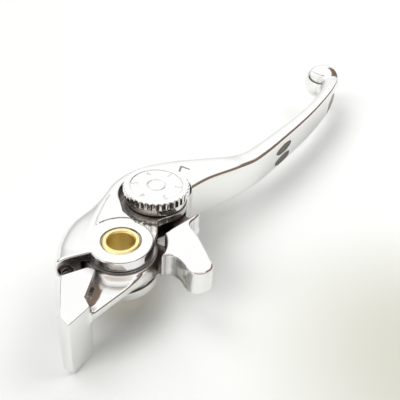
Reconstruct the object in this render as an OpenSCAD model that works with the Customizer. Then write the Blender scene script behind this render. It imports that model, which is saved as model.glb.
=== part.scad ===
/* [Pivot hub] */
// Bore that the pivot bolt passes through
pivot_bore_d = 8; // [5:0.1:9.5]
// Outside diameter of the brass pivot bush
bush_od = 11.2; // [10.6:0.1:13]
// Depth of the turned chamfer at each mouth of the bush
bush_chamfer = 1.1; // [0.2:0.1:1.2]
// Height of the hub over both ears
hub_h = 15; // [13:0.5:18]
// Diameter of the upper ear
ear_d = 18.8; // [17:0.2:20]
// Diameter of the lower ear
lower_ear_d = 21.2; // [18:0.2:22]
// Thickness of the upper ear
upper_ear_t = 4; // [3:0.1:5]
// Thickness of the lower ear
lower_ear_t = 3.5; // [3:0.1:4.5]
// Diameter of the spot face round the bush
spot_face_d = 20.4; // [18:0.2:22]
// Depth of the spot face
spot_face_t = 0.35; // [0.1:0.05:0.8]
// Radius of the fork slot round the pivot
fork_slot_r = 12; // [11.6:0.1:13]
// Thickness of each thrust washer beside the knocker
shim_t = 0.5; // [0.3:0.05:0.8]

/* [Blade] */
// Distance from the pivot to the centre of the ball
reach = 161.6; // [140:0.5:190]
// Diameter of the safety ball
ball_d = 17; // [14:0.5:20]
// Height of the grip
grip_h = 13; // [11:0.25:15]
// Depth of the grip, front to rear, at its thickest
grip_t = 10; // [8:0.25:12]
// Depth of the grip just inboard of the ball
grip_tip_t = 6.6; // [5:0.1:8]
// Where the straight grip starts, from the pivot
grip_start = 68; // [62:0.5:76]
// How far the grip lies behind the pivot line
grip_set_back = 12.8; // [9:0.1:16]
// How far the front wing stands ahead of the pivot line
wing_reach = 21.6; // [19:0.2:25]
// Radius of the rounded nose along the wing
wing_nose_r = 4.4; // [3.5:0.1:6]
// Radius along the rear edges of the blade
rear_edge_r = 1.1; // [0.4:0.1:1.6]
// Length of each oval mark on the rear face
oval_l = 12; // [8:0.5:14]
// Width of each oval mark
oval_w = 3.6; // [2:0.1:4]
// Depth of each oval mark
oval_deep = 0.5; // [0.2:0.1:1]

/* [Adjuster] */
// Dial axis, outboard of the pivot
dial_x = 24.5; // [23.5:0.1:27]
// Dial axis, ahead of the pivot
dial_y = 5.2; // [4:0.1:7]
// Diameter of the dial's rim
dial_d = 21.5; // [19:0.1:22.5]
// Thickness of the dial's rim
dial_rim_t = 3; // [2:0.1:4]
// Number of finger scallops round the rim
dial_scallops = 36; // [24:2:40]
// Diameter of the collar under the rim
collar_d = 19.6; // [17.5:0.1:20.5]
// Height of the collar
collar_t = 2.4; // [1.5:0.1:3.5]
// Diameter of the stem that carries the cam
stem_d = 6; // [5:0.1:6.6]
// Diameter of the stem's lower journal
journal_d = 5; // [4:0.1:5.5]
// Smallest radius of the spiral cam
cam_r_min = 4.3; // [4:0.05:4.8]
// Lift of the cam over the dial's travel
cam_lift = 2.2; // [1:0.1:2.4]
// Thickness of the cam
cam_t = 4.4; // [3:0.1:4.6]
// Turn of the dial from its first position to its last
dial_travel = 300; // [240:5:300]
// Height of the slot that the cam turns in
cam_slot_h = 5; // [5:0.1:6]
// Thickness of the plate under the dial
seat_t = 2.5; // [1.8:0.1:3]
// Radius of the pocket that the dial sits in
pocket_r = 12; // [11.6:0.1:12.6]
// Diameter of the click ball
click_ball_d = 2; // [1.6:0.1:2.2]

/* [Knocker] */
// Thickness of the knocker's web
web_t = 3; // [2.4:0.1:3.6]
// Diameter of the knocker's boss
boss_d = 20.8; // [18:0.2:22]
// Height of the knocker's inboard block above the mid plane
block_top = 4.5; // [3:0.1:5.5]
// Drop of the switch leg below the mid plane
leg_drop = 14.5; // [10:0.5:18]
// Inboard end of the knocker, from the pivot
leg_x = 29.8; // [27:0.1:34]
// Height of the piston spur above the mid plane
spur_top = 7.2; // [5:0.1:8]
// Radius of the spur's rounded tip
spur_tip_r = 2.8; // [2:0.1:3.4]
// How far the spur's tip lies behind the pivot line
spur_reach = 27.3; // [24:0.1:31]
// Radius of the nose that rides on the cam
cam_nose_r = 2.2; // [1.6:0.1:2.6]

/* [Springs] */
// Outside diameter of the spring between blade and knocker
spring_d = 3.6; // [3:0.1:4]
// Wire of that spring
spring_wire = 0.6; // [0.4:0.05:0.8]
// Number of turns in that spring
spring_turns = 6; // [4:1:8]

/* [Fits] */
// Radial clearance of a running fit
run_c = 0.03; // [0.01:0.01:0.08]
// Axial play beside a piece that turns
side_c = 0.05; // [0.02:0.01:0.15]
// Gap between the cam and the knocker's nose
cam_gap = 0.25; // [0.15:0.05:0.4]

/* [Hidden] */
$fn = 96;

chrome = [0.80, 0.81, 0.82];
brass = [0.80, 0.62, 0.25];
steel = [0.62, 0.63, 0.65];
cut = 0.5;
top = hub_h / 2;
upper_ear_z = top - upper_ear_t;
lower_ear_z = -top + lower_ear_t;
cam_slot_top = cam_slot_h / 2;
seat_z = cam_slot_top + seat_t;
washer_t = 0.3;
collar_z = seat_z + washer_t + side_c;
rim_z = collar_z + collar_t;
cam_z = -cam_t / 2;
clip_t = 0.8;
clip_z = -top + 1.9 - clip_t;
floor_z = clip_z + clip_t + side_c;
cam_r_max = cam_r_min + cam_lift * 330 / dial_travel;
cam_room_r = cam_r_max + 0.35;
click_r = cam_room_r + 0.65 + click_ball_d / 2;
click_angle = 60;
click_x = dial_x + click_r * cos(click_angle);
click_y = dial_y + click_r * sin(click_angle);
click_z = collar_z + 0.1 - click_ball_d / 2;
click_depth = 4.6;
nose_y = dial_y - cam_r_min - cam_gap - cam_nose_r;
slot_wall_x = dial_x + 6.5;

// Slope of a smooth curve through points p at point i
function slope(p, i) =
    let(n = len(p) - 1, a = max(i - 1, 0), b = min(i + 1, n))
    (p[b][1] - p[a][1]) / (p[b][0] - p[a][0]);

// Height at x of the smooth curve through points p, each [x, height]
function curve(p, x, i = 0) =
    (i < len(p) - 2 && x > p[i + 1][0]) ? curve(p, x, i + 1) :
    let(w = p[i + 1][0] - p[i][0],
        t = min(max((x - p[i][0]) / w, 0), 1),
        m0 = slope(p, i) * w,
        m1 = slope(p, i + 1) * w)
    (2 * t ^ 3 - 3 * t ^ 2 + 1) * p[i][1] + (t ^ 3 - 2 * t ^ 2 + t) * m0
    + (3 * t ^ 2 - 2 * t ^ 3) * p[i + 1][1] + (t ^ 3 - t ^ 2) * m1;

// Point at t on a cubic Bezier
function bezier(a, b, c, d, t) =
    (1 - t) ^ 3 * a + 3 * t * (1 - t) ^ 2 * b + 3 * t ^ 2 * (1 - t) * c + t ^ 3 * d;

// Blade outlines seen from above, along the pivot line
grip_l = reach - grip_start;
rear_line = [[-20, 1], [dial_x - 6, 1], [slot_wall_x + 1, -2.4], [slot_wall_x + 4, -2.4],
             [slot_wall_x + 13, -4.4], [grip_start - 11, -grip_set_back + 3.5],
             [grip_start, -grip_set_back + 1], [grip_start + 0.21 * grip_l, -grip_set_back - 0.2],
             [grip_start + 0.48 * grip_l, -grip_set_back - 0.8],
             [grip_start + 0.75 * grip_l, -grip_set_back + 0.4],
             [reach - 8.7, -grip_set_back + 2.5], [reach - 2, -grip_set_back + 4.6]];
front_line = [[-20, wing_reach - 14], [-13.7, wing_reach - 8.2], [-11.4, wing_reach - 6.5],
              [-7.3, wing_reach - 3.6], [-2, wing_reach - 1.1], [3, wing_reach], [9, wing_reach - 0.6],
              [15.5, wing_reach - 0.3], [21.4, wing_reach + 1.2], [28, wing_reach + 1.1],
              [36, wing_reach - 0.6], [45.2, wing_reach - 4.7], [49.7, wing_reach - 9.1],
              [53.6, wing_reach - 12.7], [60.7, -grip_set_back + 1 + 1.5 * grip_t],
              [grip_start, -grip_set_back + 1.2 + grip_t],
              [grip_start + 0.12 * grip_l, -grip_set_back + 0.1 + 0.94 * grip_t],
              [grip_start + 0.32 * grip_l, -grip_set_back - 0.5 + 0.8 * grip_t],
              [grip_start + 0.55 * grip_l, -grip_set_back - 0.8 + grip_tip_t],
              [grip_start + 0.75 * grip_l, -grip_set_back + 0.4 + grip_tip_t],
              [reach - 10, -grip_set_back + 2.7 + 1.1 * grip_tip_t],
              [reach - 2, -grip_set_back + 4 + 1.4 * grip_tip_t]];
edge_line = [[-20, -4], [-8.8, 4], [-3.8, 7.6], [1.3, 10.8], [7.2, 13.7], [13.2, 16.1],
             [20, 18.2], [28, 18.6], [36, 15.5], [45.2, 7.5], [53.6, 0.5],
             [60.7, -5.4], [grip_start, -grip_set_back + 4.4],
             [grip_start + 0.32 * grip_l, -grip_set_back + 2.3],
             [grip_start + 0.75 * grip_l, -grip_set_back + 3.2],
             [reach - 2, -grip_set_back + 7.4]];
height_line = [[-20, top], [slot_wall_x + 3, top], [slot_wall_x + 12, top],
               [56, top - 0.4], [grip_start - 4, grip_h / 2], [grip_start + 0.75 * grip_l, grip_h / 2],
               [reach - 9, grip_h / 2 - 0.4], [reach - 2, grip_h / 2 - 0.9]];
drop_line = [[-20, top], [slot_wall_x + 4.5, top], [slot_wall_x + 6, top],
             [slot_wall_x + 9, top + 0.9], [slot_wall_x + 14, top + 1.1], [56, top - 0.3], [grip_start - 4, grip_h / 2],
             [grip_start + 0.75 * grip_l, grip_h / 2], [reach - 9, grip_h / 2 - 0.4],
             [reach - 2, grip_h / 2 - 0.9]];
fall_line = [[-20, 2.6], [3, 2.4], [12, 1.2], [28, 0.8], [45, 0.3], [reach, 0.1]];
nose_line = [[-20, wing_nose_r], [3, wing_nose_r], [28, wing_nose_r + 0.6],
             [45, 4.6], [grip_start, 0.62 * grip_h / 2], [reach, 0.62 * grip_h / 2]];

// Half section of the blade at x and height h, from its front round to the corner at its rear
function half_section(x, h) =
    let(r = curve(rear_line, x), f = curve(front_line, x), b = rear_edge_r,
        e = min(max(curve(edge_line, x), r + b + 0.8), f - 2), d = f - e,
        fall = curve(fall_line, x), n = curve(nose_line, x))
    [for (i = [0 : 8]) bezier([f, 0], [f, n], [e + 0.55 * d, h - fall], [e, h], i / 8),
     [r + b, h], [r + 0.3 * b, h - 0.3 * b], [r, h - b]];

// The whole section as a closed ring, with its own height above and below the mid plane
function section(x) =
    let(u = half_section(x, curve(height_line, x)), d = half_section(x, curve(drop_line, x)),
        n = len(u) - 1)
    [for (q = u) [x, q[0], q[1]], for (i = [n : -1 : 1]) [x, d[i][0], -d[i][1]]];

module loft(rings) {
    n = len(rings[0]);
    m = len(rings) - 1;
    polyhedron(
        points = [for (ring = rings) each ring],
        faces = [
            [for (i = [0 : n - 1]) i],
            for (j = [0 : m - 1], i = [0 : n - 1])
                let(k = (i + 1) % n, a = j * n, b = a + n)
                each [[a + i, b + i, b + k], [a + i, b + k, a + k]],
            [for (i = [n - 1 : -1 : 0]) m * n + i]]);
}

module forged_body() {
    stations = [for (x = [-18 : 2.5 : 44.5]) x,
                for (i = [0 : 27]) 47 + i * (reach - 2 - 47) / 27];
    loft([for (x = stations) section(x)]);
}

// Cylinder of radius r between two heights
module disc(r, z0, z1) {
    translate([0, 0, z0]) cylinder(r = r, h = z1 - z0);
}

module at_dial() {
    translate([dial_x, dial_y, 0]) children();
}

// Slab under an outline, between two heights
module slab(z0, z1) {
    translate([0, 0, z0]) linear_extrude(z1 - z0) children();
}

// Outline of the neck that joins the ears to the dial's seat
seat_r = 10.2;
module neck_outline() {
    r = ear_d / 2;
    polygon([
        r * [cos(-52), sin(-52)],
        [r + 1.4, -5.1],
        [dial_x - 9, dial_y - 7.2],
        [dial_x, dial_y - seat_r],
        [dial_x, dial_y + seat_r],
        r * [cos(100), sin(100)]]);
    translate([dial_x, dial_y]) circle(seat_r);
}

// Plane that ends the wing beside the knocker's block
wing_end = [-8.9, 3.9];
wing_end_angle = 127;
module wing_end_cut() {
    translate([wing_end[0], wing_end[1], -top - cut]) rotate(wing_end_angle)
        translate([-20, 0, 0]) cube([60, 30, hub_h + 2 * cut]);
}

// Step between the top of the blade and the dial's pocket
module pocket_outline() {
    translate([dial_x, dial_y]) circle(pocket_r);
    polygon([[9.3, 2.8], [10.8, 7.8], [dial_x - 10, dial_y + 6.6], [dial_x, dial_y],
             [dial_x, -top - 8], [6, -top - 8]]);
}

// Slot that the cam and the knocker's nose work in
module cam_slot() {
    slab(-cam_slot_top, cam_slot_top) {
        translate([dial_x, dial_y]) circle(cam_room_r);
        translate([fork_slot_r - 3, -15]) square([slot_wall_x - fork_slot_r + 3, 15 + dial_y - 4]);
    }
}

// Mouth of the fork slot, open towards the rear and the inboard end
module fork_mouth() {
    translate([-2 * fork_slot_r, -2 * fork_slot_r]) square([2 * fork_slot_r, 2 * fork_slot_r + 4]);
    translate([0, -2 * fork_slot_r]) square([fork_slot_r - 0.4, 2 * fork_slot_r]);
}

// Socket for one end of the knocker's spring
spring_at = [-13.3, 9.3];
block_at = [-16.6, 5.2];
spring_axis = atan2(block_at[1] - spring_at[1], block_at[0] - spring_at[0]);
spring_gap = norm(block_at - spring_at);
socket_deep = 2.2;
module spring_socket(p, turn) {
    translate([p[0], p[1], 0]) rotate([0, 90, turn])
        cylinder(d = spring_d + 0.6, h = 2 * socket_deep, center = true);
}

module oval_mark(x, z) {
    y = curve(rear_line, x);
    lean = atan(curve(rear_line, x + 1) - y);
    translate([x, y, z]) rotate([90, 0, lean])
        linear_extrude(2 * oval_deep, center = true)
            for (s = [-1, 1]) {
                translate([s * (oval_l - oval_w) / 2, 0]) circle(d = oval_w);
                square([oval_l - oval_w, oval_w], center = true);
            }
}

module lever_blade() {
    color(chrome) difference() {
        union() {
            difference() {
                forged_body();
                wing_end_cut();
                slab(seat_z, top + 2) pocket_outline();
            }
            disc(ear_d / 2, 0, top);
            disc(lower_ear_d / 2, -top, 0);
            slab(-top, seat_z) neck_outline();
            translate([reach, 0, 0]) sphere(d = ball_d);
        }
        disc(fork_slot_r, lower_ear_z, upper_ear_z);
        slab(lower_ear_z, upper_ear_z) fork_mouth();
        disc(bush_od / 2, -top - cut, top + cut);
        disc(spot_face_d / 2, top - spot_face_t, top + cut);
        cam_slot();
        at_dial() disc(stem_d / 2 + run_c, cam_slot_top - cut, seat_z + cut);
        at_dial() disc(journal_d / 2 + run_c, floor_z - cut, 0);
        at_dial() disc(5.4, -top - 2, floor_z);
        translate([click_x, click_y, seat_z - click_depth])
            cylinder(d = click_ball_d + 2 * run_c, h = click_depth + cut);
        spring_socket(spring_at, spring_axis);
        oval_mark(grip_start + 18.6, 1.2);
        oval_mark(grip_start + 18.6, -3.7);
    }
}

module pivot_bush() {
    wall = (bush_od - pivot_bore_d) / 2;
    c = min(bush_chamfer, 0.8 * wall);
    z = top - spot_face_t;
    color(brass) rotate_extrude()
        polygon([[pivot_bore_d / 2, -top + c], [pivot_bore_d / 2 + c, -top],
                 [bush_od / 2, -top], [bush_od / 2, z],
                 [pivot_bore_d / 2 + c, z], [pivot_bore_d / 2, z - c]]);
}

module thrust_washer(z) {
    color(steel) difference() {
        disc(boss_d / 2 - 0.5, z, z + shim_t);
        disc(bush_od / 2 + run_c, z - cut, z + shim_t + cut);
    }
}

module upper_thrust_washer() {
    thrust_washer(upper_ear_z - shim_t);
}

module lower_thrust_washer() {
    thrust_washer(lower_ear_z);
}

// Knocker outlines seen from above
boss_top = upper_ear_z - shim_t - side_c;
boss_low = lower_ear_z + shim_t + side_c;
spur_tip = [5.6, -spur_reach + spur_tip_r];
web_top = web_t / 2;

module web_outline() {
    circle(d = boss_d);
    polygon([[-11.3, 2.6], [-9, -3], [0, 0], [9.5, -4], [11.2, -9], [17.9, -11], [12, -15.8],
             [3, -14], [2.3, -11.6], [-2.8, -10.3], [-9.9, -9.8], [-22, -8.1], [-20.4, -3],
             [-18.4, 3]]);
}

// Plan points that the inboard block and its leg share
block_front = [-18.2, 6];
block_nose = [-11.4, 2.5];
block_inner = [-10.8, -0.1];
block_notch = [-20.3, -4.5];
leg_core = [-23.5, -5.4];
leg_inner = [-22.2, -7.8];
leg_end = [-leg_x, -7.5];
leg_front = [0.9 - leg_x, -3.6];
slope_out = [0.4, 3.4];
slope_leg = [1.7, 3.2];

// Points of an outline at height z, as a ring for loft()
function ring(z, outline) = [for (p = outline) [p[0], p[1], z]];

// The inboard block: flat on top, with a long slope to its outer edge and a fillet to the web
module block() {
    crown = [block_front, block_nose, block_inner, block_notch + [0.9, 0.4], block_notch,
             leg_core, leg_front];
    waist = [block_front + slope_out, block_nose + [0.1, 0], block_inner + [0.3, -2.9],
             block_notch + [2.7, -2.1], block_notch - [0.2, 1.6], leg_core, leg_front + slope_leg];
    loft([ring(block_top, crown), ring(0, waist), ring(-block_top, crown)]);
}

// The leg that works the brake light switch, thinner towards its chamfered foot
module leg() {
    head = [block_notch + [0.5, 2], block_notch, leg_inner];
    knee = leg_inner + [0.2, -0.1];
    foot = leg_inner - [0.8, 0];
    loft([ring(block_top, concat(head, [leg_end, leg_front])),
          ring(0, concat(head, [leg_end - [0.3, 0.1], leg_front + slope_leg])),
          ring(1.4 - leg_drop, [leg_inner + [-0.5, 3.4], leg_inner + [0, 3.2], knee,
                                leg_end - [1, 0.5], leg_end + [-1.5, 2.3]]),
          ring(-leg_drop, [leg_inner + [-1.2, 2.1], leg_inner + [-0.8, 1.9], foot,
                           leg_end - [0.5, 0.4], leg_end + [-0.7, 1.3]])]);
}

// The spur that pushes the piston, with its thin fence towards the dial
module spur_outline() {
    difference() {
        union() {
            translate(spur_tip) circle(spur_tip_r);
            polygon([[1.2, -12.9], [8, -9.6], [12.4, -8.3], [15.4, -8.9], [20, -9.9],
                     [dial_x - 0.3, -11], [dial_x - 0.4, -11.9], [18.5, -11.3],
                     spur_tip + 0.93 * spur_tip_r * [cos(-35), sin(-35)],
                     spur_tip + 0.93 * spur_tip_r * [cos(172), sin(172)], [3.2, -20.4], [3.1, -16.4]]);
        }
        circle(13.1);
    }
}

module nose_outline() {
    translate([dial_x, nose_y]) circle(cam_nose_r);
    polygon([[dial_x - cam_nose_r, nose_y], [dial_x + cam_nose_r, nose_y],
             [dial_x + cam_nose_r, -7.5], [dial_x - 0.4, -12], [12, -12], [dial_x - 8, -9.6]]);
}

module knocker() {
    color(chrome) difference() {
        union() {
            disc(boss_d / 2, boss_low, boss_top);
            slab(-web_top, web_top) {
                web_outline();
                spur_outline();
                nose_outline();
            }
            block();
            leg();
            slab(-web_top, spur_top) spur_outline();
        }
        disc(bush_od / 2 + run_c, -top, top);
        disc(lower_ear_d / 2 + 0.6, -block_top - cut, boss_low);
        spring_socket(block_at, spring_axis);
    }
}

module adjuster_dial() {
    rim_top = rim_z + dial_rim_t;
    dish_r = dial_d / 2 - 2;
    color(chrome) difference() {
        at_dial() union() {
            rotate_extrude() polygon([
                [0, clip_z - 0.6], [journal_d / 2 - 0.5, clip_z - 0.6], [journal_d / 2, clip_z - 0.1],
                [journal_d / 2, cam_z], [stem_d / 2, cam_z], [stem_d / 2, collar_z],
                [collar_d / 2, collar_z], [collar_d / 2, rim_z], [dial_d / 2 - 0.6, rim_z],
                [dial_d / 2, rim_z + 0.6], [dial_d / 2, rim_top - 0.7], [dial_d / 2 - 0.7, rim_top],
                [dish_r, rim_top], [dish_r - 0.5, rim_top - 0.4], [0, rim_top - 0.4]]);
        }
        at_dial() for (i = [0 : dial_scallops - 1]) rotate(i * 360 / dial_scallops)
            translate([dial_d / 2 + 0.25, 0, rim_z - cut])
                cylinder(r = 0.7, h = dial_rim_t + 2 * cut, $fn = 24);
        at_dial() for (i = [0 : 5]) rotate(click_angle - i * dial_travel / 5)
            translate([click_r, 0, collar_z]) sphere(r = 0.6, $fn = 24);
        at_dial() rotate_extrude() translate([click_r, collar_z]) square([1.6, 0.4], center = true);
        at_dial() difference() {
            disc(journal_d, clip_z, clip_z + clip_t);
            disc(journal_d / 2 - 0.7, clip_z - cut, clip_z + clip_t + cut);
        }
        translate([dial_x + stem_d / 2 - 0.6, dial_y - 5, cam_z - cut])
            cube([5, 10, cam_t + cut]);
    }
}

// Radius of the spiral cam when the dial has turned by a
function cam_radius(a) = cam_r_min + cam_lift * min(max(a, 0), 330) / dial_travel;

module adjuster_cam() {
    color(steel) at_dial() difference() {
        slab(cam_z, cam_z + cam_t)
            polygon([for (a = [-25 : 5 : 330]) cam_radius(a) * [cos(-90 - a), sin(-90 - a)]]);
        difference() {
            disc(stem_d / 2, cam_z - cut, cam_z + cam_t + cut);
            translate([stem_d / 2 - 0.6, -5, cam_z - 2 * cut]) cube([5, 10, cam_t + 4 * cut]);
        }
    }
}

module wave_washer() {
    color(steel) at_dial() difference() {
        disc(stem_d / 2 + 2, seat_z, seat_z + washer_t);
        disc(stem_d / 2 + 0.1, seat_z - cut, seat_z + washer_t + cut);
    }
}

module cam_clip() {
    color(steel) at_dial() difference() {
        disc(journal_d / 2 + 1.9, clip_z, clip_z + clip_t);
        disc(journal_d / 2 - 0.7, clip_z - cut, clip_z + clip_t + cut);
        translate([0, -1.2, clip_z - cut]) cube([9, 2.4, clip_t + 2 * cut]);
        for (s = [-1, 1]) rotate(s * 75) translate([journal_d / 2 + 0.1, 0, clip_z - cut])
            cylinder(r = 0.9, h = clip_t + 2 * cut, $fn = 24);
    }
}

// Coil of round wire about Z, closed at its ends, standing on z = 0
module coil(d, wire, turns, h, steps = 14) {
    r = (d - wire) / 2;
    n = turns * steps;
    rise = h - wire;
    loft([for (i = [0 : n])
        let(a = i * 360 / steps, c = [r * cos(a), r * sin(a), wire / 2 + rise * i / n],
            u = [cos(a), sin(a), 0])
        [for (k = [0 : 5]) c + wire / 2 * (cos(k * 60) * u + [0, 0, sin(k * 60)])]]);
}

module click_ball() {
    color(steel) translate([click_x, click_y, click_z]) sphere(d = click_ball_d);
}

module click_spring() {
    bottom = seat_z - click_depth;
    h = click_z - click_ball_d / 2 - bottom + 0.1;
    color(steel) translate([click_x, click_y, bottom])
        coil(click_ball_d - 0.2, 0.28, 4, h);
}

module knocker_spring() {
    l = spring_gap + 2 * socket_deep;
    color(steel) translate([spring_at[0], spring_at[1], 0]) rotate([0, 90, spring_axis])
        translate([0, 0, -socket_deep]) coil(spring_d, spring_wire, spring_turns, l);
}

lever_blade();
knocker();
pivot_bush();
upper_thrust_washer();
lower_thrust_washer();
adjuster_dial();
adjuster_cam();
wave_washer();
cam_clip();
click_ball();
click_spring();
knocker_spring();
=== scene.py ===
"""Looks of the brake lever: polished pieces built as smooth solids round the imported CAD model.

Lengths are in millimetres in the part's own frame, and become metres when a mesh is made.
"""

import math

import bmesh
import bpy
import numpy as np
from mathutils import Matrix, Vector


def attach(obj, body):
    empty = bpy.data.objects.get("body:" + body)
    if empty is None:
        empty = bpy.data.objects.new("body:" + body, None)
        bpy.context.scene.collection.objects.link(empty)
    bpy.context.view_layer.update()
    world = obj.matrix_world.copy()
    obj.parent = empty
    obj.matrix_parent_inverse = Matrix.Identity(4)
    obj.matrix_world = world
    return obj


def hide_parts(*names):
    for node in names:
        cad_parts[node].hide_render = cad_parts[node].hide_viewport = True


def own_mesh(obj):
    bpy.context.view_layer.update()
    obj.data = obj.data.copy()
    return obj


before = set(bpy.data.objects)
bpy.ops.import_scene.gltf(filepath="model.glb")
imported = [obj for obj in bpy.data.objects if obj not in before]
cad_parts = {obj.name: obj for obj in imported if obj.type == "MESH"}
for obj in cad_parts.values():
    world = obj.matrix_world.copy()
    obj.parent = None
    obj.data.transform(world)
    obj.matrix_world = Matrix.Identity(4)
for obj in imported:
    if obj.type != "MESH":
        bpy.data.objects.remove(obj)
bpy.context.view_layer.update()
MM = 0.001

# Sizes that the CAD source names, in millimetres
TOP = 7.5
UPPER_EAR_Z, LOWER_EAR_Z = 3.5, -4.0
EAR_R, LOWER_EAR_R = 9.4, 10.6
BORE_R, BUSH_R = 4.0, 5.6
SPOT_R, SPOT_DEEP = 10.2, 0.35
FORK_R = 12.0
REACH, BALL_R = 161.6, 8.5
GRIP_START, GRIP_BACK, GRIP_T, GRIP_TIP, GRIP_HALF = 68.0, 12.8, 10.0, 6.6, 6.5
WING, WING_NOSE = 21.6, 4.4
DIAL = (24.5, 5.2)
DIAL_R, COLLAR_R = 10.75, 9.8
SEAT_Z, COLLAR_Z, RIM_Z, RIM_TOP = 5.0, 5.35, 7.75, 10.75
SLOT_WALL_X = 31.0


# ---------------------------------------------------------------- fields

def join(a, b, r=0.0):
    """Union of two fields, with a fillet of radius r between them."""
    if not np.any(r):
        return np.minimum(a, b)
    return np.maximum(r, np.minimum(a, b)) - np.hypot(np.maximum(r - a, 0), np.maximum(r - b, 0))


def meet(a, b, r=0.0):
    """What two fields share, with an edge rounded to radius r."""
    if not np.any(r):
        return np.maximum(a, b)
    return np.minimum(-r, np.maximum(a, b)) + np.hypot(np.maximum(r + a, 0), np.maximum(r + b, 0))


def cut(a, b, r=0.0):
    """Field a without field b, with the edge between them rounded to radius r."""
    return meet(a, -b, r)


def between(z, low, high):
    """Field of the slab from low to high."""
    return np.abs(z - (low + high) / 2) - (high - low) / 2


def disc(x, y, z, r, low, high, edge=0.0, at=(0.0, 0.0)):
    """Field of an upright cylinder whose edges are rounded to radius edge."""
    return meet(np.hypot(x - at[0], y - at[1]) - r, between(z, low, high), edge)


def outline(points, x, y):
    """Signed distance in plan to a closed outline, negative inside it."""
    near = np.full_like(x, 1e9)
    inside = np.zeros(x.shape, bool)
    for (ax, ay), (bx, by) in zip(points, points[1:] + points[:1]):
        ex, ey, wx, wy = bx - ax, by - ay, x - ax, y - ay
        t = np.clip((wx * ex + wy * ey) / (ex * ex + ey * ey), 0, 1)
        near = np.minimum(near, (wx - ex * t) ** 2 + (wy - ey * t) ** 2)
        if ay != by:
            inside ^= ((ay <= y) != (by <= y)) & (x < ax + (y - ay) * ex / ey)
    return np.where(inside, -1, 1) * np.sqrt(near)


def hull_field(points):
    """Field of the convex solid round some points, from the planes of its faces."""
    bm = bmesh.new()
    for p in points:
        bm.verts.new(p)
    bmesh.ops.convex_hull(bm, input=bm.verts)
    bmesh.ops.dissolve_limit(bm, angle_limit=0.02, verts=bm.verts, edges=bm.edges)
    centre = sum((v.co for v in bm.verts), Vector()) / len(bm.verts)
    planes = []
    for f in bm.faces:
        n = f.normal.copy()
        d = n.dot(f.calc_center_median())
        if n.dot(centre) > d:
            n, d = -n, -d
        planes.append((n.x, n.y, n.z, d))
    bm.free()

    def field(x, y, z, edge):
        out = None
        for a, b, c, d in planes:
            side = a * x + b * y + c * z - d
            out = side if out is None else meet(out, side, edge)
        return out
    return field


class Line:
    """A smooth curve through points [x, value], by the CAD source's rule.

    It is worked out once, as a fine table of values and slopes."""

    STEP = 0.05

    def __init__(self, points):
        p = np.array(points, float)
        n = len(p) - 1
        i = np.arange(n + 1)
        a, b = np.maximum(i - 1, 0), np.minimum(i + 1, n)
        m = (p[b, 1] - p[a, 1]) / (p[b, 0] - p[a, 0])
        self.x = np.arange(p[0, 0], p[-1, 0] + 0.02, self.STEP)
        k = np.clip(np.searchsorted(p[:, 0], self.x, side="right") - 1, 0, n - 1)
        w = p[k + 1, 0] - p[k, 0]
        t = np.clip((self.x - p[k, 0]) / w, 0, 1)
        self.v = ((2 * t ** 3 - 3 * t ** 2 + 1) * p[k, 1] + (t ** 3 - 2 * t ** 2 + t) * m[k] * w
                  + (3 * t ** 2 - 2 * t ** 3) * p[k + 1, 1] + (t ** 3 - t ** 2) * m[k + 1] * w)
        self.s = np.gradient(self.v, self.x)

    def __call__(self, x):
        return np.interp(x, self.x, self.v)

    def slope(self, x):
        return np.interp(x, self.x, self.s)


# ---------------------------------------------------------------- blade

# Plan and height of the forging along x. REAR and FRONT are its outline, EDGE is where the
# crown meets the flats, HEIGHT and DROP are half its thickness above and below, FALL and NOSE
# shape the crown, and REAR_EDGE is the rounding of the rear edges.
GRIP_L = REACH - GRIP_START
REAR = Line([[-20, 1], [DIAL[0] - 6, 1], [SLOT_WALL_X + 1, -2.4], [SLOT_WALL_X + 4, -2.4],
             [SLOT_WALL_X + 13, -4.4], [GRIP_START - 11, -GRIP_BACK + 3.5],
             [GRIP_START, -GRIP_BACK + 1], [GRIP_START + 0.21 * GRIP_L, -GRIP_BACK - 0.2],
             [GRIP_START + 0.48 * GRIP_L, -GRIP_BACK - 0.8],
             [GRIP_START + 0.75 * GRIP_L, -GRIP_BACK + 0.4],
             [REACH - 8.7, -GRIP_BACK + 2.5], [REACH - 2, -GRIP_BACK + 4.6]])
FRONT = Line([[-20, WING - 14], [-13.7, WING - 8.2], [-11.4, WING - 6.5], [-7.3, WING - 3.6],
              [-2, WING - 1.1], [3, WING], [9, WING - 0.6], [15.5, WING - 0.3],
              [21.4, WING + 1.2], [28, WING + 1.1], [36, WING - 0.6], [45.2, WING - 4.7],
              [49.7, WING - 9.1], [53.6, WING - 12.7], [60.7, -GRIP_BACK + 1 + 1.5 * GRIP_T],
              [GRIP_START, -GRIP_BACK + 1.2 + GRIP_T],
              [GRIP_START + 0.12 * GRIP_L, -GRIP_BACK + 0.1 + 0.94 * GRIP_T],
              [GRIP_START + 0.32 * GRIP_L, -GRIP_BACK - 0.5 + 0.8 * GRIP_T],
              [GRIP_START + 0.55 * GRIP_L, -GRIP_BACK - 0.8 + GRIP_TIP],
              [GRIP_START + 0.75 * GRIP_L, -GRIP_BACK + 0.4 + GRIP_TIP],
              [REACH - 10, -GRIP_BACK + 2.7 + 1.1 * GRIP_TIP],
              [REACH - 2, -GRIP_BACK + 4 + 1.4 * GRIP_TIP]])
EDGE = Line([[-20, -4], [-8.8, 4], [-3.8, 7.6], [1.3, 10.8], [7.2, 13.7], [13.2, 16.1],
             [20, 18.2], [28, 18.6], [36, 15.5], [45.2, 7.5], [53.6, 0.5], [60.7, -5.4],
             [GRIP_START, -GRIP_BACK + 4.4], [GRIP_START + 0.32 * GRIP_L, -GRIP_BACK + 2.3],
             [GRIP_START + 0.75 * GRIP_L, -GRIP_BACK + 3.2], [REACH - 2, -GRIP_BACK + 7.4]])
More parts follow.
